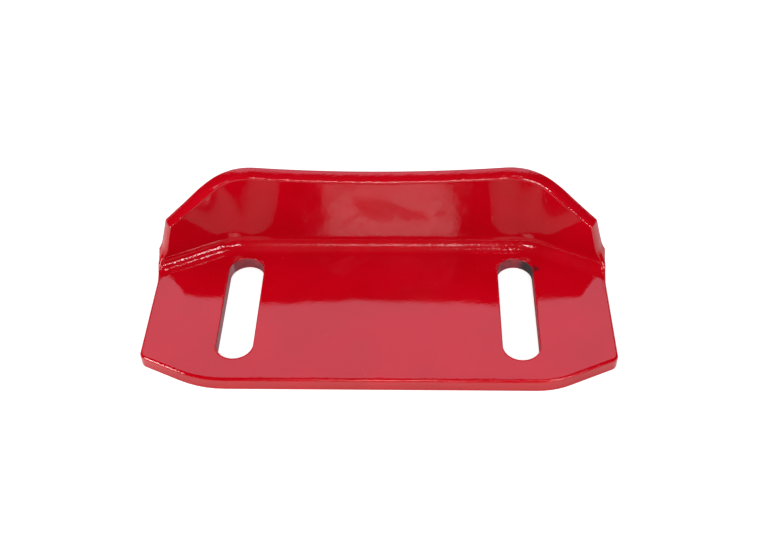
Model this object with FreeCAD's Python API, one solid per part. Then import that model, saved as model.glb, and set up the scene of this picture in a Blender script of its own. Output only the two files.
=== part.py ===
import FreeCAD, Part
import math
import os
from FreeCAD import Vector

# Snow blower skid shoe: one steel sheet, bent once along a line that turns near each end.
# It lies on its mounting plate. The origin is between the two slots, on the plate's underside.
# +X runs along the shoe, +Y runs toward the runner flange and +Z is up.

# Sheet
SHEET = 4.6                 # thickness of the steel
BEND_RADIUS = 4.6           # inner radius of the bend between plate and runner
BEND_BULGE = 0.2            # how far the bend's ends are pressed out past the plate's end edges

# Mounting plate, seen from above
LENGTH = 146.0              # between the two end edges
FREE_EDGE_Y = 30.1          # from the slots' middle to the free edge
CORNER_LONG = 19.6          # corner cut, measured along the free edge
CORNER_SHORT = 9.1          # corner cut, measured along the end edge
CORNER_EASE = 16.0          # radius where the corner cut runs into the free edge
CORNER_TIP = 3.0            # radius where the corner cut meets the end edge

# Slots for the carriage bolts
SLOT_WIDTH = 11.4
SLOT_LENGTH = 43.2
SLOT_SPACING = 88.2

# Runner flange, whose two ends sweep toward the slots
RUNNER_Y = 27.5             # from the slots' middle to the runner's inner face
RUNNER_HEIGHT = 33.5        # from the underside of the plate to the top edge's middle
SWEEP_LENGTH = 23.0         # how much of the shoe's length each swept end takes
SWEEP_ANGLE = 26.0          # how far each end turns toward the slots
TURN_RADIUS_LOW = 16.0      # inner radius of that turn at the plate
TURN_RADIUS_HIGH = 60.0     # inner radius of that turn far above the plate
TURN_HEIGHT = 68.4          # how far above the plate it has that larger radius

# Outline of the runner, seen from the front
TOP_ARC_RADIUS = 480.0      # shallow hollow of the top edge
SHOULDER_IN = 26.0          # from the end edge in to where top edge and end cut would meet
SHOULDER_RADIUS = 20.0      # rounding there
TIP_IN = 5.4                # from the end edge in to where the end cut meets the leaning end
TIP_Z = 21.0                # height of that corner above the plate's underside
TIP_RADIUS = 1.2            # rounding there
HEEL_IN = 2.8               # from the end edge in to the foot of the leaning end
HEEL_RISE = 2.3             # height of that foot above the bend
HEEL_RADIUS = 8.0           # rounding there
DRAW_RISE = 2.4             # height above the plate at which the bend's end draws in
DRAW_RADIUS = 3.0           # rounding there

NEAR = 0.01                 # lengths closer than this count as equal


def mirrored(points):
    """Points of the right half, then their mirror images on the left half in reverse."""
    return points + [Vector(-point.x, point.y, point.z) for point in reversed(points)]


def corner_edges(body, direction, corner):
    """Edges of a prism along direction that pass the corner or its mirror image."""
    found = []
    for edge in body.Edges:
        offset = edge.CenterOfMass - corner
        twin = edge.CenterOfMass - Vector(-corner.x, corner.y, corner.z)
        if min(offset.cross(direction).Length, twin.cross(direction).Length) < NEAR:
            found.append(edge)
    return found


def punch():
    """Solid that the sheet is folded over: it fills the corner between plate and runner."""
    reach = LENGTH
    turn_x = LENGTH / 2 - SWEEP_LENGTH
    sweep = (reach - turn_x) * math.tan(math.radians(SWEEP_ANGLE))
    corner = Vector(turn_x, RUNNER_Y, SHEET)
    outline = mirrored([
        corner,
        Vector(reach, RUNNER_Y - sweep, SHEET),
        Vector(reach, -reach, SHEET),
    ])
    face = Part.Face(Part.makePolygon(outline + outline[:1]))
    body = face.extrude(Vector(0, 0, TURN_HEIGHT))
    turns = corner_edges(body, Vector(0, 0, 1), corner)
    body = body.makeFillet(TURN_RADIUS_LOW, TURN_RADIUS_HIGH, turns)
    foot = []
    for edge in body.Edges:
        box = edge.BoundBox
        behind = box.YMin > -reach + NEAR and box.XLength > NEAR
        if box.ZMax < SHEET + NEAR and behind:
            foot.append(edge)
    return body.makeFillet(BEND_RADIUS, foot)


def skin(body):
    """Faces of the punch that the sheet lies on: the plate's top, the bend and the runner."""
    faces = []
    for face in body.Faces:
        box = face.BoundBox
        end = box.XLength < NEAR
        front = box.YMax < NEAR - LENGTH
        top = box.ZMin > SHEET + TURN_HEIGHT - NEAR
        if not (end or front or top):
            faces.append(face)
    return Part.Shell(faces)


def plan_limits():
    """Upright prism with the outline of the plate, open toward the runner."""
    half = LENGTH / 2
    long_end = Vector(half - CORNER_LONG, -FREE_EDGE_Y, 0)
    short_end = Vector(half, CORNER_SHORT - FREE_EDGE_Y, 0)
    outline = mirrored([long_end, short_end, Vector(half, LENGTH, 0)])
    face = Part.Face(Part.makePolygon(outline + outline[:1]))
    body = face.extrude(Vector(0, 0, 2 * RUNNER_HEIGHT))
    for corner, radius in ((long_end, CORNER_EASE), (short_end, CORNER_TIP)):
        body = body.makeFillet(radius, corner_edges(body, Vector(0, 0, 1), corner))
    return body


def front_limits():
    """Level prism with the outline of the runner, open toward the plate."""
    half = LENGTH / 2
    front = -LENGTH
    shoulder_x = half - SHOULDER_IN
    rise = TOP_ARC_RADIUS - math.sqrt(TOP_ARC_RADIUS ** 2 - shoulder_x ** 2)
    shoulder = Vector(shoulder_x, front, RUNNER_HEIGHT + rise)
    tip = Vector(half - TIP_IN, front, TIP_Z)
    heel = Vector(half - HEEL_IN, front, SHEET + BEND_RADIUS + HEEL_RISE)
    draw = Vector(half, front, SHEET + DRAW_RISE)
    outline = mirrored([shoulder, tip, heel, draw, Vector(half, front, 0)])
    sides = Part.makePolygon(outline).Edges
    top = Part.Arc(outline[-1], Vector(0, front, RUNNER_HEIGHT), shoulder).toShape()
    body = Part.Face(Part.Wire(sides + [top])).extrude(Vector(0, 2 * LENGTH, 0))
    rounded = (
        (shoulder, SHOULDER_RADIUS),
        (tip, TIP_RADIUS),
        (heel, HEEL_RADIUS),
        (draw, DRAW_RADIUS),
    )
    for corner, radius in rounded:
        body = body.makeFillet(radius, corner_edges(body, Vector(0, 1, 0), corner))
    return body


def slot_cutter(centre_x):
    """Upright solid with the outline of one slot."""
    radius = SLOT_WIDTH / 2
    straight = SLOT_LENGTH - SLOT_WIDTH
    depth = 3 * SHEET
    corner = Vector(centre_x - radius, -straight / 2, -SHEET)
    body = Part.makeBox(SLOT_WIDTH, straight, depth, corner)
    for end_y in (-straight / 2, straight / 2):
        body = body.fuse(Part.makeCylinder(radius, depth, Vector(centre_x, end_y, -SHEET)))
    return body.removeSplitter()


def skid_shoe():
    """The whole shoe: the skin is trimmed, thickened away from the punch and slotted."""
    limits = plan_limits().common(front_limits())
    trimmed = Part.Shell(skin(punch()).common(limits).Faces)
    sheet = trimmed.makeOffsetShape(SHEET, NEAR / 10, fill=True)
    half = LENGTH / 2 + BEND_BULGE
    gauge = Part.makeBox(2 * half, 2 * LENGTH, LENGTH, Vector(-half, -LENGTH, -SHEET))
    sheet = sheet.common(gauge)
    for side in (-1, 1):
        sheet = sheet.cut(slot_cutter(side * SLOT_SPACING / 2))
    return sheet.Solids[0]


if __name__ == "__main__":
    os.makedirs("parts", exist_ok=True)
    shoe = skid_shoe()
    shoe.exportStep("parts/skid_shoe.step")
    box = shoe.optimalBoundingBox()
    print("skid_shoe", shoe.ShapeType, shoe.isValid(), round(shoe.Volume, 1))
    print("size", round(box.XLength, 2), round(box.YLength, 2), round(box.ZLength, 2))
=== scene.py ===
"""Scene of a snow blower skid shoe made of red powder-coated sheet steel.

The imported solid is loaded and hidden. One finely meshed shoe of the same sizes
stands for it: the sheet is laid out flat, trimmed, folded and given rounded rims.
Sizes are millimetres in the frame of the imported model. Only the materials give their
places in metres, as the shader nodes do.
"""

import logging
import math
from dataclasses import astuple, dataclass, field
from enum import Enum
from typing import Union

import bpy
import numpy as np
from mathutils import Matrix, Vector
from mathutils.geometry import delaunay_2d_cdt


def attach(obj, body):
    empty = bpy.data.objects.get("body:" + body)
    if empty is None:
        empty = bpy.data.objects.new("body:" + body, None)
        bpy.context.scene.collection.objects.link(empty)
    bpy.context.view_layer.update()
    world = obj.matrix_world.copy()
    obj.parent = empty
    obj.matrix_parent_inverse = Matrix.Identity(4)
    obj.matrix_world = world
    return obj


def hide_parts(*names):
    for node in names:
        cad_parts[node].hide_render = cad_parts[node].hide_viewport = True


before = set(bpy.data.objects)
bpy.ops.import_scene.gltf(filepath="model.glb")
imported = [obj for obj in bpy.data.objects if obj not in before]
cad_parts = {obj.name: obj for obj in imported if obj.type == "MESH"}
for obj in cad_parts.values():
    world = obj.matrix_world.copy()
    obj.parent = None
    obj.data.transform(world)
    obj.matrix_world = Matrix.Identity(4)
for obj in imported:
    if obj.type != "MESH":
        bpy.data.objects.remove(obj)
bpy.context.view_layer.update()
LOG = logging.getLogger("skid_shoe_scene")

MM = 0.001
TINY = 1e-9  # keeps a quotient of two zeros at zero
WELD = 1e-5  # laid-out points closer than this become one
WHITE = (1.0, 1.0, 1.0, 1.0)

# Sockets of the Mix node when it mixes colours.
MIX_SHARE, MIX_FIRST, MIX_SECOND, MIX_RESULT = 0, 6, 7, 2

Span = tuple[float, float]
Place = tuple[float, float, float]
Colour = tuple[float, float, float]
Array = np.ndarray
Tree = bpy.types.NodeTree
Socket = bpy.types.NodeSocket
Number = Union[float, Socket]
Paint = Union[Colour, Socket]


class Finish(Enum):
    """Finishes of the shoe, in the order of its material slots."""

    RED_COAT = 0
    SLOT_WALL = 1


def smooth_step(value: Array, low: float, high: float) -> Array:
    """Eased ramp from 0 to 1.

    Args:
        value: Numbers to ease.
        low: Value at which the ramp is 0.
        high: Value at which the ramp is 1.

    Returns:
        The eased numbers.
    """
    share = np.clip((value - low) / (high - low), 0.0, 1.0)
    return share * share * (3.0 - 2.0 * share)


def unit(vectors: Array) -> Array:
    """Vectors with their length made 1, one row each."""
    return vectors / np.linalg.norm(vectors, axis=-1, keepdims=True)


def rounded(corners: list[tuple[float, float, float]], turn: float = 6.0) -> Array:
    """Open flat path through corners that are rounded by arcs.

    Args:
        corners: Two coordinates and a rounding radius for each corner.
        turn: Largest angle in degrees between two points of an arc.

    Returns:
        Points of the path, one row each.
    """
    path = [np.array(corners[0][:2])]
    for before, (x, y, radius), after in zip(corners, corners[1:], corners[2:]):
        corner = np.array((x, y))
        arrive = unit(corner - np.array(before[:2]))
        leave = unit(np.array(after[:2]) - corner)
        angle = math.acos(float(np.clip(arrive @ leave, -1.0, 1.0)))
        reach = radius * math.tan(angle / 2)
        side = math.copysign(1.0, arrive[0] * leave[1] - arrive[1] * leave[0])
        across = side * np.array((-arrive[1], arrive[0]))
        centre = corner - arrive * reach + across * radius
        count = max(2, math.ceil(math.degrees(angle) / turn) + 1)
        for share in np.linspace(0.0, 1.0, count):
            part = angle * share
            back, on = across * radius * math.cos(part), arrive * radius * math.sin(part)
            path.append(centre - back + on)
    path.append(np.array(corners[-1][:2]))
    return np.array(path)


def divided(path: Array, step: float) -> Array:
    """Path with long segments divided evenly.

    Args:
        path: Points of the path, one row each.
        step: Longest segment allowed.

    Returns:
        Points of the divided path, the old ones among them.
    """
    points = [path[0]]
    for start, end in zip(path, path[1:]):
        count = max(1, math.ceil(float(np.linalg.norm(end - start)) / step))
        points.extend(start + (end - start) * (k + 1) / count for k in range(count))
    return np.array(points)


def inside(points: Array, loop: Array) -> Array:
    """Which points lie inside a closed flat loop.

    Args:
        points: Points to test, one row each.
        loop: Points of the loop, one row each.

    Returns:
        One truth value for each point.
    """
    found = np.zeros(len(points), bool)
    for (x0, y0), (x1, y1) in zip(loop, np.roll(loop, -1, axis=0)):
        if y0 == y1:
            continue
        spans = (points[:, 1] < y0) != (points[:, 1] < y1)
        crossing = x0 + (points[:, 1] - y0) * (x1 - x0) / (y1 - y0)
        found ^= spans & (points[:, 0] < crossing)
    return found


def within(points: Array, loops: list[Array]) -> Array:
    """Which points lie inside the first loop and outside the others."""
    holes = [inside(points, loop) for loop in loops[1:]]
    return inside(points, loops[0]) & ~np.any(holes, axis=0)


@dataclass(frozen=True)
class Ripples:
    """Slow unevenness that pressing and coating leave in the sheet's upper face."""

    count: int = 16
    shortest: float = 9.0
    longest: float = 42.0
    slope: float = 0.0045
    seed: int = 11

    def height(self, x: Array, v: Array) -> Array:
        """Height of the face above the true one.

        Args:
            x: Places along the shoe.
            v: Places across the laid-out sheet.

        Returns:
            Heights in millimetres.
        """
        dice = np.random.default_rng(self.seed)
        total = np.zeros_like(x)
        for _ in range(self.count):
            wave = self.shortest * (self.longest / self.shortest) ** dice.random()
            heading = dice.random() * 2 * math.pi
            start = dice.random() * 2 * math.pi
            along = (x * math.cos(heading) + v * math.sin(heading)) * 2 * math.pi / wave
            total = total + np.sin(along + start) * self.slope * wave / (2 * math.pi)
        return total * math.sqrt(2.0 / self.count)


@dataclass(frozen=True)
class FoldedSheet:
    """Upper face of the sheet as a surface over a laid-out plane.

    The plane's first coordinate runs along the shoe. The second, the run, is 0 where the
    plate ends, grows through the bend and then grows up the runner. The runner's ends bow
    back by up to `bow` where they start to turn, and the upper face rolls over by `roll`
    along their end cuts. The bend's ends stand `bulge` past the plate's end edges.
    """

    thickness: float = 4.6
    bend_radius: float = 4.6
    half_length: float = 73.0
    runner_y: float = 27.5
    sweep_length: float = 23.0
    sweep_angle: float = 26.0
    turn_radius_low: float = 16.0
    turn_radius_high: float = 60.0
    turn_height: float = 68.4
    bow: float = 1.0
    bow_at: float = 52.0
    bow_reach: float = 6.5
    bow_climb: float = 25.0
    roll: float = 0.15
    roll_width: float = 8.0
    roll_climb: float = 8.0
    roll_most: float = 1.2
    roll_tip: Span = (67.6, 21.0)
    roll_angle: float = 35.7
    bulge: float = 0.2
    ripples: Ripples = Ripples()

    @property
    def bend_run(self) -> float:
        """Run from the start of the bend to the foot of the runner."""
        return self.bend_radius * math.pi / 2

    def height(self, v: Array) -> Array:
        """Height of the face above the plate's underside.

        Args:
            v: Runs.

        Returns:
            Heights in millimetres.
        """
        angle = np.clip(v / self.bend_radius, 0.0, math.pi / 2)
        rise = self.bend_radius * (1 - np.cos(angle))
        return self.thickness + rise + np.maximum(v - self.bend_run, 0.0)

    def run(self, z: Array) -> Array:
        """Run at which the bend or the runner has a height.

        Args:
            z: Heights above the plate's underside.

        Returns:
            Runs in millimetres.
        """
        rise = np.clip((z - self.thickness) / self.bend_radius, 0.0, 1.0)
        above = np.maximum(z - self.thickness - self.bend_radius, 0.0)
        return self.bend_radius * np.arccos(1 - rise) + above

    def crest(self, x: Array, v: Array) -> Array:
        """Place of the face across the shoe.

        Args:
            x: Places along the shoe.
            v: Runs.

        Returns:
            Y coordinates in millimetres.
        """
        angle = np.clip(v / self.bend_radius, 0.0, math.pi / 2)
        inset = self.bend_radius * (1 - np.sin(angle))
        foot = self.thickness + self.bend_radius
        climb = (np.maximum(self.height(v), foot) - self.thickness) / self.turn_height
        widening = self.turn_radius_high - self.turn_radius_low
        radius = self.turn_radius_low + widening * climb - inset
        sweep = math.radians(self.sweep_angle)
        corner = self.half_length - self.sweep_length - inset * math.tan(sweep / 2)
        start = corner - radius * math.tan(sweep / 2)
        end = corner + radius * math.tan(sweep / 2) * math.cos(sweep)
        away = np.abs(x)
        into = np.clip(away - start, 0.0, radius * math.sin(sweep))
        turned = radius - np.sqrt(radius * radius - into * into)
        swept = np.where(away > end, (away - corner) * math.tan(sweep), turned)
        rise = np.clip((self.height(v) - foot) / self.bow_climb, 0.0, 1.0)
        bowed = self.bow * rise * rise * np.exp(-(((away - self.bow_at) / self.bow_reach) ** 2))
        # A soft minimum of both, so that the bow never passes the runner's straight middle.
        back = bowed * swept / (np.cbrt(bowed ** 3 + swept ** 3) + TINY)
        return self.runner_y - inset - swept + back + np.minimum(v, 0.0)

    def dent(self, x: Array, v: Array) -> Array:
        """Depth by which shearing rolled the face over along the runner's end cuts.

        Args:
            x: Places along the shoe.
            v: Runs.

        Returns:
            Depths in millimetres.
        """
        angle = math.radians(self.roll_angle)
        tip_x, tip_z = self.roll_tip
        height = self.height(v)
        deep = (tip_x - np.abs(x)) * math.sin(angle) + (tip_z - height) * math.cos(angle)
        rolled = self.roll * np.clip(1.0 - deep / self.roll_width, 0.0, self.roll_most) ** 2
        above = height - self.thickness - self.bend_radius
        return rolled * smooth_step(above, 0.0, self.roll_climb)

    def bare(self, x: Array, v: Array) -> Array:
        """Points of the true face, without ripples, one row each."""
        return np.stack((x, self.crest(x, v), self.height(v)), axis=-1)

    def slopes(self, x: Array, v: Array) -> tuple[Array, ...]:
        """Directions of the true face.

        Args:
            x: Places along the shoe.
            v: Runs.

        Returns:
            Change of the point with x, change with the run, and the unit normal that
            points into the sheet.
        """
        near = 0.02
        along = (self.bare(x + near, v) - self.bare(x - near, v)) / (2 * near)
        across = (self.bare(x, v + near) - self.bare(x, v - near)) / (2 * near)
        return along, across, unit(np.cross(across, along))

    def point(self, x: Array, v: Array, depth: Array) -> Array:
        """Points in the sheet.

        Args:
            x: Places along the shoe.
            v: Runs.
            depth: Depths below the upper face.

        Returns:
            Points in millimetres, one row each.
        """
        normal = self.slopes(x, v)[2]
        fade = np.clip(1 - depth / self.thickness, 0.0, 1.0)
        lift = depth + (self.dent(x, v) - self.ripples.height(x, v)) * fade
        return self.bare(x, v) + normal * lift[:, None]

    def facing(self, x: Array, v: Array, depth: Array) -> Array:
        """Directions square to the rippled sheet.

        Args:
            x: Places along the shoe.
            v: Runs.
            depth: Depths below the upper face.

        Returns:
            Unit normals that point into the sheet, one row each.
        """
        near = 0.05
        along = self.point(x + near, v, depth) - self.point(x - near, v, depth)
        across = self.point(x, v + near, depth) - self.point(x, v - near, depth)
        return unit(np.cross(across, along))


@dataclass(frozen=True)
class Trim:
    """Outlines that the sheet is cut to: its outer edge and two slots."""

    sheet: FoldedSheet
    free_edge_y: float = 30.1
    corner_long: float = 19.6
    corner_short: float = 9.1
    corner_ease_left: float = 34.0
    corner_ease_right: float = 24.0
    corner_tip: float = 3.0
    runner_height: float = 33.5
    top_arc_radius: float = 480.0
    shoulder_in: float = 26.0
    shoulder_radius: float = 20.0
    tip_in: float = 5.4
    tip_z: float = 21.0
    tip_radius: float = 1.2
    heel_in: float = 2.8
    heel_rise: float = 2.3
    heel_radius: float = 8.0
    draw_rise: float = 2.4
    draw_radius: float = 3.0
    slot_width: float = 11.4
    slot_length: float = 43.2
    slot_spacing: float = 88.2
    step: float = 0.8
    fine_step: float = 0.5
    shoulder_points: int = 24
    slot_end_points: int = 25

    def laid_out(self, plan: Array) -> Array:
        """Turns plan points of the plate into places and runs, one row each."""
        start = self.sheet.crest(plan[:, 0], np.zeros(len(plan)))
        return np.stack((plan[:, 0], plan[:, 1] - start), axis=-1)

    def plate_edge(self, ease: float) -> Array:
        """One half of the plate's edge, from the free edge's middle to the bend.

        Args:
            ease: Rounding where the corner's cut meets the free edge.

        Returns:
            Places and runs of the edge's points on the right side, one row each.
        """
        half = self.sheet.half_length
        fold = float(self.sheet.crest(np.array([half]), np.array([0.0]))[0])
        path = rounded([
            (0.0, -self.free_edge_y, 0.0),
            (half - self.corner_long, -self.free_edge_y, ease),
            (half, self.corner_short - self.free_edge_y, self.corner_tip),
            (half, fold, 0.0),
        ])
        return self.laid_out(divided(path, self.step))

    def top_arc(self, x: Array | float) -> Array:
        """Height of the runner's shallow hollow top edge."""
        radius = self.top_arc_radius
        return self.runner_height + radius - np.sqrt(radius * radius - x * x)

    def shoulder(self) -> Array:
        """Arc that joins the runner's end cut to its hollow top edge.

        Returns:
            Points from the end cut to the top edge, one row each.
        """
        half = self.sheet.half_length
        meet = half - self.shoulder_in
        middle = np.array((0.0, self.runner_height + self.top_arc_radius))
        tip = np.array((half - self.tip_in, self.tip_z))
        cut = unit(np.array((meet, float(self.top_arc(meet)))) - tip)
        inward = np.array((-cut[1], cut[0]))
        base = tip + inward * self.shoulder_radius - middle
        along = float(base @ cut)
        apart = self.top_arc_radius + self.shoulder_radius
        beyond = math.sqrt(along * along - float(base @ base) + apart * apart)
        centre = middle + base - cut * (along + beyond)
        first = math.atan2(-inward[1], -inward[0])
        last = math.atan2(middle[1] - centre[1], middle[0] - centre[0])
        turn = np.linspace(first, last, self.shoulder_points)
        return centre + self.shoulder_radius * np.stack((np.cos(turn), np.sin(turn)), axis=-1)

    def runner_edge(self) -> Array:
        """Right half of the runner's edge, from the bend to the top edge's middle.

        Returns:
            Places and runs of the edge's points, one row each.
        """
        half = self.sheet.half_length
        foot = self.sheet.thickness + self.sheet.bend_radius
        shoulder = self.shoulder()
        path = rounded([
            (half, self.sheet.thickness, 0.0),
            (half, self.sheet.thickness + self.draw_rise, self.draw_radius),
            (half - self.heel_in, foot + self.heel_rise, self.heel_radius),
            (half - self.tip_in, self.tip_z, self.tip_radius),
            (*shoulder[0], 0.0),
        ])
        path = np.concatenate((divided(path, self.fine_step), shoulder[1:]))
        middle = np.linspace(path[-1, 0], 0.0, math.ceil(path[-1, 0] / self.step) + 1)[1:]
        path = np.concatenate((path, np.stack((middle, self.top_arc(middle)), axis=-1)))
        return np.stack((path[:, 0], self.sheet.run(path[:, 1])), axis=-1)

    def outside(self) -> Array:
        """Whole outer edge, counter-clockwise in the laid-out plane.

        Returns:
            Places and runs of the edge's points, one row each.
        """
        runner = self.runner_edge()
        right, left = (
            np.concatenate((self.plate_edge(ease)[:-1], runner))
            for ease in (self.corner_ease_right, self.corner_ease_left)
        )
        return np.concatenate((right, left[-2:0:-1] * np.array((-1.0, 1.0))))

    def slot(self, side: int) -> Array:
        """Edge of one slot, clockwise in the laid-out plane.

        Args:
            side: -1 for the left slot and 1 for the right one.

        Returns:
            Places and runs of the edge's points, one row each.
        """
        radius = self.slot_width / 2
        straight = self.slot_length / 2 - radius
        turn = np.radians(np.linspace(0.0, 180.0, self.slot_end_points))
        far = np.stack((radius * np.cos(turn), straight + radius * np.sin(turn)), axis=-1)
        near = -far
        path = divided(np.concatenate((far, near, far[:1])), self.step)[:-1]
        path[:, 0] += side * self.slot_spacing / 2
        return self.laid_out(path[::-1])


@dataclass(frozen=True)
class Rim:
    """Rounding of a cut edge, by how far it reaches along the face and into the sheet."""

    upper_along: float
    upper_deep: float
    lower_along: float = 0.3
    lower_deep: float = 0.3


@dataclass
class SkidShoe:
    """The whole shoe as one closed mesh with rounded rims.

    Rings of points run `guard` inside the rims, and triangles fill the faces between
    them. The blends say where a rim's rounding changes, and the fold spans where the
    bend's own coat begins and ends.
    """

    trim: Trim
    name: str = "painted_skid_shoe"
    grid: float = 1.0
    bend_grid: float = 0.45
    grid_runs: Span = (-58.0, 36.0)
    clear_square: float = 0.2
    guard: float = 0.25
    arc_steps: int = 6
    wall_shares: Span = (0.33, 0.67)
    plate_rim: Rim = Rim(1.0, 1.0)
    slot_rim: Rim = Rim(0.4, 0.4)
    runner_rim: Rim = Rim(1.6, 3.8, 0.6, 0.6)
    tip_rim: Rim = Rim(0.8, 3.4, 0.7, 0.7)
    tip_blend: Span = (56.0, 64.0)
    runner_blend: Span = (3.0, 16.0)
    fold_start: Span = (-2.0, 2.0)
    fold_end: Span = (-2.5, 0.5)
    points: list[Array] = field(default_factory=list)
    normals: list[Array] = field(default_factory=list)
    places: list[Array] = field(default_factory=list)
    faces: list[tuple[int, ...]] = field(default_factory=list)
    finishes: list[int] = field(default_factory=list)
    rims: list[Array] = field(default_factory=list)
    count: int = 0

    @property
    def sheet(self) -> FoldedSheet:
        """The folded surface that the shoe follows."""
        return self.trim.sheet

    def add_points(
        self, places: Array, depth: Array, normals: Array, rim: float = 0.0
    ) -> Array:
        """Adds points of the sheet to the mesh.

        Args:
            places: Places and runs, one row each.
            depth: Depths below the upper face.
            normals: Outward normals, one row each.
            rim: 1 on a rounded rim, 0 elsewhere.

        Returns:
            Numbers of the new points.
        """
        found = self.sheet.point(places[:, 0], places[:, 1], depth)
        limit = self.sheet.half_length + self.sheet.bulge
        over = np.abs(found[:, 0]) > limit
        found[:, 0] = np.clip(found[:, 0], -limit, limit)
        normals = normals.copy()
        normals[over] = 0.0
        normals[over, 0] = np.sign(found[over, 0])
        self.points.append(found)
        self.normals.append(normals)
        self.places.append(places)
        self.rims.append(np.full(len(places), rim))
        numbers = np.arange(self.count, self.count + len(found))
        self.count += len(found)
        return numbers

    def rim_sizes(self, loop: Array, wall: Finish) -> Array:
        """Rounding at each point of a loop.

        Args:
            loop: Places and runs, one row each.
            wall: Finish of the cut wall, which tells a slot from the outer edge.

        Returns:
            The four sizes of Rim, one row for each point.
        """
        plate, runner, tip, slot = (
            np.array(astuple(rim))
            for rim in (self.plate_rim, self.runner_rim, self.tip_rim, self.slot_rim)
        )
        if wall is Finish.SLOT_WALL:
            return np.tile(slot, (len(loop), 1))
        runner = runner + (tip - runner) * smooth_step(np.abs(loop[:, :1]), *self.tip_blend)
        return plate + (runner - plate) * smooth_step(loop[:, 1:], *self.runner_blend)

    def profile(self, sizes: Array) -> list[tuple[Array, ...]]:
        """Section of the cut edge from the upper face to the lower one.

        Args:
            sizes: The four sizes of Rim, one row for each point of the loop.

        Returns:
            For each ring the reach back from the cut, the depth, and the outward
            normal's shares along the face and into the sheet.
        """
        thick = self.sheet.thickness
        up_a, up_d, low_a, low_d = sizes.T
        none = np.zeros(len(sizes))
        rings = [(-up_a - self.guard, none, none, none - 1.0)]
        for turn in np.linspace(0.0, math.pi / 2, self.arc_steps + 1):
            back = -up_a * (1 - math.sin(turn))
            depth = up_d * (1 - math.cos(turn))
            rings.append((back, depth, math.sin(turn) / up_a, -math.cos(turn) / up_d))
        for share in self.wall_shares:
            depth = up_d + (thick - up_d - low_d) * share
            rings.append((none, depth, none + 1.0, none))
        for turn in np.linspace(0.0, math.pi / 2, self.arc_steps):
            back = -low_a * (1 - math.cos(turn))
            depth = thick - low_d * (1 - math.sin(turn))
            rings.append((back, depth, math.cos(turn) / low_a, math.sin(turn) / low_d))
        rings.append((-low_a - self.guard, none + thick, none, none + 1.0))
        return rings

    def edge(self, loop: Array, wall: Finish) -> tuple[Array, Array]:
        """Builds the rounded wall round one loop.

        Args:
            loop: Places and runs with the sheet on the left, one row each.
            wall: Finish of the cut wall below its upper rim.

        Returns:
            Point numbers of the rings on the upper and the lower face.
        """
        along, across, normal = self.sheet.slopes(loop[:, 0], loop[:, 1])
        base = self.sheet.bare(loop[:, 0], loop[:, 1])
        tangent = np.roll(base, -1, axis=0) - np.roll(base, 1, axis=0)
        outward = unit(np.cross(normal, tangent))
        metric = np.stack((along, across), axis=-1)
        rings = []
        for back, depth, out_share, in_share in self.profile(self.rim_sizes(loop, wall)):
            moved = outward * back[:, None]
            shift = np.stack([np.linalg.lstsq(m, d, rcond=None)[0] for m, d in zip(metric, moved)])
            places = loop + shift
            into = self.sheet.facing(places[:, 0], places[:, 1], depth)
            facing = unit(outward * out_share[:, None] + into * in_share[:, None])
            rim = float(0 < len(rings) <= self.arc_steps + 1)
            rings.append(self.add_points(places, depth, facing, rim))
        for number, (upper, lower) in enumerate(zip(rings, rings[1:])):
            finish = wall if number >= self.arc_steps else Finish.RED_COAT
            for k in range(len(loop)):
                after = (k + 1) % len(loop)
                self.faces.append((upper[k], lower[k], lower[after], upper[after]))
                self.finishes.append(finish.value)
        return rings[0], rings[-1]

    def face(self, rings: list[Array], depth: float) -> None:
        """Fills the upper or lower face between its rings with triangles.

        Args:
            rings: Point numbers of the outer ring and the slots' rings.
            depth: Depth of the face below the upper one.
        """
        every = np.concatenate(self.places)
        loops = [every[ring] for ring in rings]
        first_run, last_run = self.grid_runs
        runs = np.concatenate((
            np.arange(first_run, 0.0, self.grid),
            np.arange(0.0, self.sheet.bend_run, self.bend_grid),
            np.arange(self.sheet.bend_run, last_run, self.grid),
        ))
        half = self.sheet.half_length
        columns = np.linspace(-half, half, round(2 * half / self.grid) + 1)
        mesh = np.stack(np.meshgrid(columns, runs), axis=-1).reshape(-1, 2)
        mesh = mesh[within(mesh, loops)]
        rim = np.concatenate(loops)
        gaps = np.array([np.min(np.sum((rim - place) ** 2, axis=1)) for place in mesh])
        mesh = mesh[gaps > self.clear_square]
        deep = np.full(len(mesh), depth)
        sign = 1.0 if depth > 0 else -1.0
        facing = sign * self.sheet.facing(mesh[:, 0], mesh[:, 1], deep)
        inner = self.add_points(mesh, deep, facing)
        numbers = np.concatenate((*rings, inner))
        flat = [Vector(place) for place in (*rim, *mesh)]
        borders, first = [], 0
        for ring in rings:
            size = len(ring)
            borders.extend((first + k, first + (k + 1) % size) for k in range(size))
            first += size
        spots, _, triangles, origins, _, _ = delaunay_2d_cdt(flat, borders, [], 0, WELD)
        spots, triangles = np.array([tuple(spot) for spot in spots]), np.array(triangles)
        source = [origin[0] for origin in origins]
        for corners in triangles[within(spots[triangles].mean(axis=1), loops)]:
            face = tuple(int(numbers[source[corner]]) for corner in corners)
            self.faces.append(face if depth == 0 else face[::-1])
            self.finishes.append(Finish.RED_COAT.value)

    def mark(self, mesh: bpy.types.Mesh) -> None:
        """Stores where the bend and the rounded rims lie, which the coat reads.

        Args:
            mesh: Mesh of the shoe, with its points in the order they were added.
        """
        runs = np.concatenate(self.places)[:, 1]
        end_low, end_high = self.fold_end
        begun = smooth_step(runs, *self.fold_start)
        ended = smooth_step(runs, self.sheet.bend_run + end_low, self.sheet.bend_run + end_high)
        marks = {"fold": begun * (1 - ended), "rim": np.concatenate(self.rims)}
        for name, values in marks.items():
            layer = mesh.attributes.new(name, "FLOAT", "POINT")
            layer.data.foreach_set("value", values.astype(np.float32))

    def dress(self, shoe: bpy.types.Object, coats: list[bpy.types.Material]) -> None:
        """Gives the shoe its materials, in the order of Finish."""
        for coat in coats:
            shoe.data.materials.append(coat)

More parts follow.
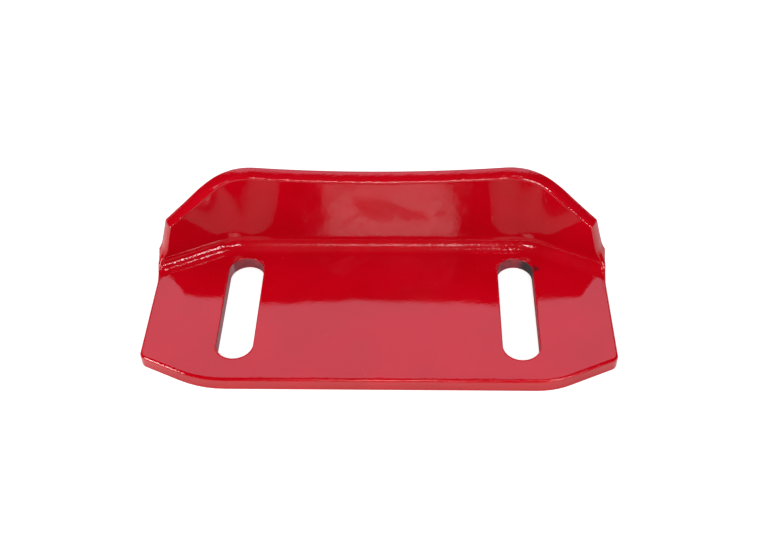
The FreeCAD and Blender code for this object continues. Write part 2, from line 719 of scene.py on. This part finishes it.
    def build(self) -> bpy.types.Object:
        """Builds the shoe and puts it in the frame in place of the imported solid.

        Returns:
            The finished object.
        """
        pairs = [self.edge(self.trim.outside(), Finish.RED_COAT)]
        pairs += [self.edge(self.trim.slot(side), Finish.SLOT_WALL) for side in (-1, 1)]
        self.face([upper for upper, _ in pairs], 0.0)
        self.face([lower for _, lower in pairs], self.sheet.thickness)
        mesh = bpy.data.meshes.new(self.name)
        points = np.concatenate(self.points) * MM
        mesh.from_pydata([tuple(point) for point in points], [], self.faces)
        mesh.validate()
        self.mark(mesh)
        mesh.polygons.foreach_set("material_index", self.finishes)
        mesh.polygons.foreach_set("use_smooth", [True] * len(mesh.polygons))
        normals = np.concatenate(self.normals)
        mesh.normals_split_custom_set_from_vertices([tuple(normal) for normal in normals])
        mesh.update()
        shoe = bpy.data.objects.new(self.name, mesh)
        bpy.context.scene.collection.objects.link(shoe)
        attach(shoe, "root")
        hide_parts("skid_shoe")
        return shoe


class Nodes:
    """Short way to place and join shader nodes in one tree."""

    def __init__(self, tree: Tree) -> None:
        """Keeps the tree that nodes are added to."""
        self.tree = tree

    def fill(self, node: bpy.types.Node, values: dict) -> None:
        """Sets a node's inputs.

        Args:
            node: Node whose inputs are set.
            values: Values to set or sockets to join, by input name or number.
        """
        for name, value in values.items():
            if isinstance(value, Socket):
                self.tree.links.new(value, node.inputs[name])
            else:
                node.inputs[name].default_value = value

    def add(self, kind: str, values: dict | None = None, **settings: object) -> bpy.types.Node:
        """Adds a node.

        Args:
            kind: Node type without the words ShaderNode.
            values: Inputs to set or to join, by input name or number.
            **settings: Properties of the node.

        Returns:
            The new node.
        """
        node = self.tree.nodes.new("ShaderNode" + kind)
        for name, setting in settings.items():
            setattr(node, name, setting)
        self.fill(node, values or {})
        return node

    def group(self, tree: Tree, values: dict) -> bpy.types.Node:
        """Adds a node group with its own values and returns its node."""
        return self.add("Group", values, node_tree=tree)

    def math(self, operation: str, first: Number, second: Number = 0.0) -> Socket:
        """Adds a Math node and returns its result."""
        return self.add("Math", {0: first, 1: second}, operation=operation).outputs[0]

    def times(self, first: Number, second: Number) -> Socket:
        """Multiplies two numbers and returns the result."""
        return self.math("MULTIPLY", first, second)

    def ramp(self, value: Number, span: Span, start: float = 0.0, end: float = 1.0) -> Socket:
        """Adds an eased ramp.

        Args:
            value: Number to ease.
            span: Values at which the ramp begins and ends.
            start: Result where it begins.
            end: Result where it ends.

        Returns:
            The result's socket.
        """
        low, high = span
        limits = {"From Min": low, "From Max": high, "To Min": start, "To Max": end}
        node = self.add("MapRange", {"Value": value, **limits}, interpolation_type="SMOOTHSTEP")
        return node.outputs["Result"]

    def noise(self, place: Socket, size: float, detail: float = 2.0, rough: float = 0.5) -> Socket:
        """Adds noise with lumps of about the given size in millimetres."""
        values = {"Vector": place, "Scale": 1 / (size * MM), "Detail": detail, "Roughness": rough}
        return self.add("TexNoise", values).outputs["Fac"]

    def distance(self, place: Socket, spot: Place) -> Socket:
        """Measures how far a place is from a fixed spot and returns the result."""
        return self.add("VectorMath", {0: place, 1: spot}, operation="DISTANCE").outputs["Value"]

    def blend(self, share: Number, first: Paint, second: Paint) -> Socket:
        """Mixes two colours.

        Args:
            share: How much of the second colour shows.
            first: First colour.
            second: Second colour.

        Returns:
            The mixed colour's socket.
        """
        values = {MIX_SHARE: share}
        for number, colour in ((MIX_FIRST, first), (MIX_SECOND, second)):
            values[number] = colour if isinstance(colour, Socket) else (*colour, 1.0)
        return self.add("Mix", values, data_type="RGBA").outputs[MIX_RESULT]


class GroupNodes(Nodes):
    """Nodes of a new group that takes plain numbers and gives one."""

    def __init__(self, name: str, inputs: dict[str, float], output: str) -> None:
        """Makes the group.

        Args:
            name: Name of the group.
            inputs: Default value of each input by name.
            output: Name of the output.
        """
        super().__init__(bpy.data.node_groups.new(name, "ShaderNodeTree"))
        sockets = self.tree.interface
        for label, value in inputs.items():
            socket = sockets.new_socket(name=label, in_out="INPUT", socket_type="NodeSocketFloat")
            socket.default_value = value
        sockets.new_socket(name=output, in_out="OUTPUT", socket_type="NodeSocketFloat")
        self.given = self.tree.nodes.new("NodeGroupInput").outputs
        self.output = output

    def close(self, result: Socket) -> Tree:
        """Joins the result to the group's output and returns the group."""
        self.fill(self.tree.nodes.new("NodeGroupOutput"), {self.output: result})
        return self.tree


def blank_material(name: str) -> tuple[bpy.types.Material, Nodes]:
    """Makes a material without nodes.

    Args:
        name: Name of the material.

    Returns:
        The material and a way to add nodes to it.
    """
    material = bpy.data.materials.new(name)
    material.use_nodes = True
    material.node_tree.nodes.clear()
    return material, Nodes(material.node_tree)


@dataclass
class CoatEffects:
    """Node groups for what powder coat does on every face of the shoe."""

    fine_size: float = 0.85
    slow_size: float = 5.0
    bare_share: float = 0.72
    peel: Tree = field(init=False)
    specks: Tree = field(init=False)

    def __post_init__(self) -> None:
        """Builds both groups."""
        self.peel = self.orange_peel()
        self.specks = self.dust_specks()

    def orange_peel(self) -> Tree:
        """Fine lumps and slower swells in the coat's skin.

        Returns:
            The node group.
        """
        nodes = GroupNodes("orange_peel", {"Lump": 1.0, "Swell": 1.0}, "Height")
        place = nodes.add("TexCoord").outputs["Object"]
        fine = nodes.times(nodes.noise(place, self.fine_size, 1.0), nodes.given["Lump"])
        slow = nodes.times(nodes.noise(place, self.slow_size, 1.0), nodes.given["Swell"])
        return nodes.close(nodes.math("ADD", fine, slow))

    def dust_specks(self) -> Tree:
        """Sparse tiny grains under the coat.

        Returns:
            The node group.
        """
        nodes = GroupNodes("dust_specks", {"Spacing": 4.0, "Size": 0.1}, "Mask")
        place = nodes.add("TexCoord").outputs["Object"]
        scale = nodes.math("DIVIDE", 1 / MM, nodes.given["Spacing"])
        cell = nodes.add("TexVoronoi", {"Vector": place, "Scale": scale})
        pick = nodes.add("SeparateColor", {"Color": cell.outputs["Color"]}).outputs["Red"]
        grain = nodes.math("LESS_THAN", cell.outputs["Distance"], nodes.given["Size"])
        return nodes.close(nodes.times(grain, nodes.math("GREATER_THAN", pick, self.bare_share)))


@dataclass(frozen=True)
class RedCoat:
    """Glossy red powder coat, with a duller skin in the middle of the bend.

    The reaches are distances from the shoe's middle, or from a spot, over which an effect
    fades out. The lumps are heights of the orange peel, in units of `bump`.
    """

    colour: Colour = (0.50, 0.0004, 0.0075)
    deep: Colour = (0.45, 0.0002, 0.0055)
    cloud: Span = (0.3, 0.7)
    grain: Colour = (0.75, 0.12, 0.16)
    grain_show: float = 0.25
    smear: Colour = (0.05, 0.008, 0.014)
    smear_at: Place = (0.0506, 0.0168, 0.0046)
    smear_reach: Span = (0.0016, 0.0030)
    smear_ragged: float = 0.002
    smear_show: float = 0.75
    refraction: float = 1.6
    roughness: float = 0.07
    patches: Span = (0.8, 1.3)
    bend_reach: Span = (0.040, 0.048)
    bend_dull: Span = (0.12, 0.05)
    bend_dull_change: Span = (0.018, 0.030)
    bend_faint: float = 0.3
    bend_faint_change: Span = (0.014, 0.028)
    smudge: float = 0.3
    smudge_grain: Span = (0.42, 0.56)
    smudge_reach: Span = (0.014, 0.026)
    smudge_height: float = 0.021
    smudge_rise: Span = (0.003, 0.007)
    lump: float = 1.1
    bend_lump: float = 4.5
    rim_lump: float = 8.0
    swell: float = 2.0
    bump: float = 0.000012

    def tint(self, nodes: Nodes, place: Socket, specks: Tree) -> Socket:
        """Colour of the coat: cloudy red, pale grains and a dark smear by the right slot.

        Args:
            nodes: Nodes of the material.
            place: Point of the shoe.
            specks: Node group of the grains.

        Returns:
            The colour's socket.
        """
        cloud = nodes.ramp(nodes.noise(place, 18.0, 3.0), self.cloud)
        colour = nodes.blend(cloud, self.deep, self.colour)
        mask = nodes.group(specks, {"Spacing": 3.2, "Size": 0.06}).outputs["Mask"]
        colour = nodes.blend(nodes.times(mask, self.grain_show), colour, self.grain)
        ragged = nodes.times(nodes.noise(place, 1.2), self.smear_ragged)
        apart = nodes.math("ADD", nodes.distance(place, self.smear_at), ragged)
        smear = nodes.ramp(apart, self.smear_reach, self.smear_show, 0.0)
        return nodes.blend(smear, colour, self.smear)

    def gloss(self, nodes: Nodes, place: Socket, bend: Socket) -> Socket:
        """Strength of the gloss: weaker in the bend's middle and on smudges of the runner.

        Args:
            nodes: Nodes of the material.
            place: Point of the shoe.
            bend: 1 in the middle of the bend, 0 away from it.

        Returns:
            The shader's specular level.
        """
        x, _, z = nodes.add("SeparateXYZ", {0: place}).outputs
        faint = nodes.times(bend, nodes.ramp(x, self.bend_faint_change, 1.0, 0.0))
        away = nodes.math("ABSOLUTE", x)
        rise = nodes.math("ABSOLUTE", nodes.math("SUBTRACT", z, self.smudge_height))
        blot = nodes.ramp(nodes.noise(place, 6.0), self.smudge_grain)
        blot = nodes.times(blot, nodes.ramp(away, self.smudge_reach, 1.0, 0.0))
        blot = nodes.times(blot, nodes.ramp(rise, self.smudge_rise, 1.0, 0.0))
        weak = nodes.times(faint, self.bend_faint)
        weak = nodes.math("ADD", weak, nodes.times(blot, self.smudge))
        return nodes.math("SUBTRACT", 0.5, weak)

    def relief(self, nodes: Nodes, fold: Socket, peel: Tree) -> Socket:
        """Orange peel, coarser on the bend and on the rounded rims.

        Args:
            nodes: Nodes of the material.
            fold: 1 on the bend, 0 elsewhere.
            peel: Node group of the orange peel.

        Returns:
            The bumped normal's socket.
        """
        rim = nodes.add("Attribute", attribute_name="rim").outputs["Fac"]
        lump = nodes.math("ADD", nodes.times(fold, self.bend_lump), nodes.times(rim, self.rim_lump))
        lump = nodes.math("ADD", lump, self.lump)
        height = nodes.group(peel, {"Lump": lump, "Swell": self.swell}).outputs["Height"]
        values = {"Strength": 1.0, "Distance": self.bump, "Height": height}
        return nodes.add("Bump", values).outputs["Normal"]

    def make(self, effects: CoatEffects) -> bpy.types.Material:
        """Builds the material.

        Args:
            effects: Node groups of the coat.

        Returns:
            The finished material.
        """
        material, nodes = blank_material("glossy_red_powder_coat")
        place = nodes.add("TexCoord").outputs["Object"]
        along = nodes.add("SeparateXYZ", {0: place}).outputs[0]
        fold = nodes.add("Attribute", attribute_name="fold").outputs["Fac"]
        middle = nodes.ramp(nodes.math("ABSOLUTE", along), self.bend_reach, 1.0, 0.0)
        bend = nodes.times(fold, middle)
        least, most = (self.roughness * share for share in self.patches)
        rough = nodes.ramp(nodes.noise(place, 6.0, 3.0), self.cloud, least, most)
        dull = nodes.times(bend, nodes.ramp(along, self.bend_dull_change, *self.bend_dull))
        shader = nodes.add("BsdfPrincipled", {
            "Base Color": self.tint(nodes, place, effects.specks),
            "Roughness": nodes.math("ADD", rough, dull),
            "IOR": self.refraction,
            "Specular IOR Level": self.gloss(nodes, place, bend),
            "Normal": self.relief(nodes, fold, effects.peel),
        })
        nodes.add("OutputMaterial", {"Surface": shader.outputs["BSDF"]})
        return material


@dataclass(frozen=True)
class SlotWallCoat:
    """Thin, dull overspray on the slots' cut walls.

    The left slot's left wall is pale, the right slot's right wall is well coated, and a
    dark stain sits at that slot's far end.
    """

    thin: Colour = (0.40, 0.035, 0.052)
    grey: Colour = (0.22, 0.04, 0.052)
    patches: Span = (0.35, 0.65)
    pale: Colour = (0.42, 0.22, 0.25)
    pale_change: Span = (-0.0492, -0.0485)
    pale_show: Span = (0.9, 0.5)
    coated: Colour = (0.36, 0.008, 0.018)
    coated_change: Span = (0.0488, 0.0494)
    coated_show: float = 0.85
    stain: Colour = (0.03, 0.024, 0.028)
    stain_at: Place = (0.0495, 0.0175, 0.0025)
    stain_reach: Span = (0.0035, 0.0065)
    stain_ragged: float = 0.0015
    stain_show: float = 0.95
    roughness: Span = (0.42, 0.294)
    lump: float = 3.0
    swell: float = 2.0
    bump: float = 0.00002

    def make(self, effects: CoatEffects) -> bpy.types.Material:
        """Builds the material.

        Args:
            effects: Node groups of the coat.

        Returns:
            The finished material.
        """
        material, nodes = blank_material("thin_overspray_on_cut_wall")
        place = nodes.add("TexCoord").outputs["Object"]
        along = nodes.add("SeparateXYZ", {0: place}).outputs[0]
        patch = nodes.ramp(nodes.noise(place, 3.0, 4.0, 0.6), self.patches)
        colour = nodes.blend(patch, self.grey, self.thin)
        bare = nodes.ramp(along, self.pale_change, 1.0, 0.0)
        bare = nodes.times(bare, nodes.ramp(patch, (0.0, 1.0), *self.pale_show))
        colour = nodes.blend(bare, colour, self.pale)
        coated = nodes.ramp(along, self.coated_change, 0.0, self.coated_show)
        colour = nodes.blend(coated, colour, self.coated)
        ragged = nodes.times(patch, self.stain_ragged)
        apart = nodes.math("ADD", nodes.distance(place, self.stain_at), ragged)
        soiled = nodes.ramp(apart, self.stain_reach, self.stain_show, 0.0)
        peel = nodes.group(effects.peel, {"Lump": self.lump, "Swell": self.swell})
        values = {"Strength": 1.0, "Distance": self.bump, "Height": peel.outputs["Height"]}
        shader = nodes.add("BsdfPrincipled", {
            "Base Color": nodes.blend(soiled, colour, self.stain),
            "Roughness": nodes.ramp(patch, (0.0, 1.0), *self.roughness),
            "Normal": nodes.add("Bump", values).outputs["Normal"],
        })
        nodes.add("OutputMaterial", {"Surface": shader.outputs["BSDF"]})
        return material


@dataclass(frozen=True)
class Lamp:
    """One rectangular soft lamp that faces a point of the shoe."""

    name: str
    azimuth: float
    elevation: float
    distance: float
    width: float
    height: float
    level: float
    target: Place = (0.0, 15.0, 5.0)

    def place(self) -> None:
        """Builds the lamp and turns it to the shoe."""
        light = bpy.data.lights.new(self.name, "AREA")
        light.shape = "RECTANGLE"
        light.size = self.width * MM
        light.size_y = self.height * MM
        light.energy = self.level * math.pi * light.size * light.size_y
        lamp = bpy.data.objects.new(self.name, light)
        around, up = math.radians(self.azimuth), math.radians(self.elevation)
        level = math.cos(up)
        toward = Vector((math.sin(around) * level, -math.cos(around) * level, math.sin(up)))
        lamp.location = (Vector(self.target) + toward * self.distance) * MM
        lamp.rotation_euler = toward.to_track_quat("Z", "Y").to_euler()
        lamp.visible_camera = False
        bpy.context.scene.collection.objects.link(lamp)


@dataclass(frozen=True)
class Studio:
    """Pale floor, soft lamps, surroundings and camera.

    The floor is a little brighter to the camera, and carries a painted shadow under the
    shoe that only mirrored views show. Gloss mirrors a pale wall behind the shoe, whose
    limits are given as directions.
    """

    floor_size: float = 6000.0
    floor_drop: float = 0.02
    floor_colour: Colour = (0.86, 0.86, 0.86)
    floor_lift: float = 0.5
    floor_painted_shadow: Colour = (0.35, 0.35, 0.35)
    shade_across: Span = (0.055, 0.075)
    shade_deep: Span = (0.022, 0.034)
    fill: float = 0.71
    fill_base: float = 0.15
    fill_rise: float = 1.3
    fill_tilt: float = 0.3
    surround: float = 0.006
    wall: float = 1.25
    wall_colour: Colour = (1.1, 0.84, 1.05)
    wall_side: Span = (0.75, 0.95)
    wall_foot: Span = (0.2, 0.3)
    wall_top: Span = (0.82, 0.86)
    lens: float = 49.1
    sensor: float = 36.0
    camera_at: Place = (12.58, -222.31, 247.11)
    camera_right: Place = (0.9993, 0.0279, -0.0248)
    camera_up: Place = (-0.0029, 0.7198, 0.6942)
    camera_forward: Place = (-0.0372, 0.6937, -0.7193)
    lamps: tuple[Lamp, ...] = (
        Lamp("front_lamp", -1.75, 41.4, 380.0, 92.0, 48.0, 13.5),
        Lamp("right_lamp", 38.0, 31.0, 700.0, 220.0, 90.0, 18.0),
        Lamp("upper_right_lamp", 45.0, 69.0, 700.0, 130.0, 80.0, 10.0),
        Lamp("left_lamp", -58.0, 21.0, 700.0, 120.0, 260.0, 15.0),
    )

    def floor_paint(self) -> bpy.types.Material:
        """Builds the floor's pale matt paint.

        Returns:
            The finished material.
        """
        material, nodes = blank_material("pale_matt_floor")
        path = nodes.add("LightPath").outputs
        x, y, _ = nodes.add("SeparateXYZ", {0: nodes.add("TexCoord").outputs["Object"]}).outputs
        # Painted shadow: under the shoe the floor's colour is darkened, for gloss rays only.
        across = nodes.ramp(nodes.math("ABSOLUTE", x), self.shade_across, 1.0, 0.0)
        deep = nodes.ramp(nodes.math("ABSOLUTE", y), self.shade_deep, 1.0, 0.0)
        painted_shadow = nodes.times(nodes.times(across, deep), path["Is Glossy Ray"])
        colour = nodes.blend(painted_shadow, self.floor_colour, self.floor_painted_shadow)
        paint = nodes.add("BsdfDiffuse", {"Color": colour})
        lift = nodes.times(path["Is Camera Ray"], self.floor_lift)
        glow = nodes.add("Emission", {"Color": WHITE, "Strength": lift})
        both = nodes.add("AddShader", {0: paint.outputs[0], 1: glow.outputs[0]})
        nodes.add("OutputMaterial", {"Surface": both.outputs[0]})
        return material

    def lay_floor(self) -> None:
        """Lays the pale floor just under the plate."""
        half, z = self.floor_size / 2 * MM, -self.floor_drop * MM
        corners = [(-half, -half, z), (half, -half, z), (half, half, z), (-half, half, z)]
        mesh = bpy.data.meshes.new("floor")
        mesh.from_pydata(corners, [], [(0, 1, 2, 3)])
        mesh.materials.append(self.floor_paint())
        floor = bpy.data.objects.new("floor", mesh)
        bpy.context.scene.collection.objects.link(floor)

    def surroundings(self) -> None:
        """Sets the even fill light, the white background and what gloss mirrors."""
        world = bpy.data.worlds.new("studio")
        bpy.context.scene.world = world
        world.use_nodes = True
        world.node_tree.nodes.clear()
        nodes = Nodes(world.node_tree)
        path = nodes.add("LightPath").outputs
        toward = nodes.add("TexCoord").outputs["Generated"]
        x, y, z = nodes.add("SeparateXYZ", {0: toward}).outputs
        side = nodes.math("DIVIDE", nodes.math("ABSOLUTE", x), nodes.math("MAXIMUM", y, 0.01))
        wall = nodes.ramp(side, self.wall_side, 1.0, 0.0)
        wall = nodes.times(wall, nodes.ramp(z, self.wall_foot))
        wall = nodes.times(wall, nodes.ramp(z, self.wall_top, 1.0, 0.0))
        mirrored = nodes.math("MAXIMUM", nodes.times(wall, self.wall), self.surround)
        slant = nodes.math(
            "SUBTRACT", nodes.times(z, self.fill_rise), nodes.times(x, self.fill_tilt)
        )
        slant = nodes.math("MAXIMUM", nodes.math("ADD", slant, self.fill_base), 0.0)
        lit = nodes.times(slant, self.fill)
        plain, gloss, white = (
            nodes.add("Background", {"Color": colour, "Strength": strength}).outputs[0]
            for colour, strength in (
                (WHITE, lit), ((*self.wall_colour, 1.0), mirrored), (WHITE, 1.0)
            )
        )
        last = plain
        for ray, light in (("Is Glossy Ray", gloss), ("Is Camera Ray", white)):
            last = nodes.add("MixShader", {0: path[ray], 1: last, 2: light}).outputs[0]
        nodes.add("OutputWorld", {"Surface": last})

    def set_camera(self) -> None:
        """Places the camera where the photograph was taken from."""
        lens = bpy.data.cameras.new("camera")
        lens.lens = self.lens
        lens.sensor_width = self.sensor
        lens.sensor_fit = "HORIZONTAL"
        lens.clip_start = 0.01
        camera = bpy.data.objects.new("camera", lens)
        backward = [-part for part in self.camera_forward]
        axes = Matrix((self.camera_right, self.camera_up, backward)).transposed()
        camera.matrix_world = Matrix.Translation(Vector(self.camera_at) * MM) @ axes.to_4x4()
        bpy.context.scene.collection.objects.link(camera)
        bpy.context.scene.camera = camera

    def build(self) -> None:
        """Builds everything that isn't part of the shoe."""
        bpy.context.scene.view_settings.view_transform = "Standard"
        self.set_camera()
        self.lay_floor()
        self.surroundings()
        for lamp in self.lamps:
            lamp.place()


def main() -> None:
    """Builds the shoe and the studio."""
    logging.basicConfig(level=logging.INFO, format="%(name)s: %(message)s")
    model = SkidShoe(Trim(FoldedSheet()))
    shoe = model.build()
    effects = CoatEffects()
    model.dress(shoe, [RedCoat().make(effects), SlotWallCoat().make(effects)])
    mesh = shoe.data
    LOG.info("%s: %d points, %d faces", shoe.name, len(mesh.vertices), len(mesh.polygons))
    Studio().build()
    LOG.info("studio: floor, lamps and camera are placed")


if __name__ == "__main__":
    main()
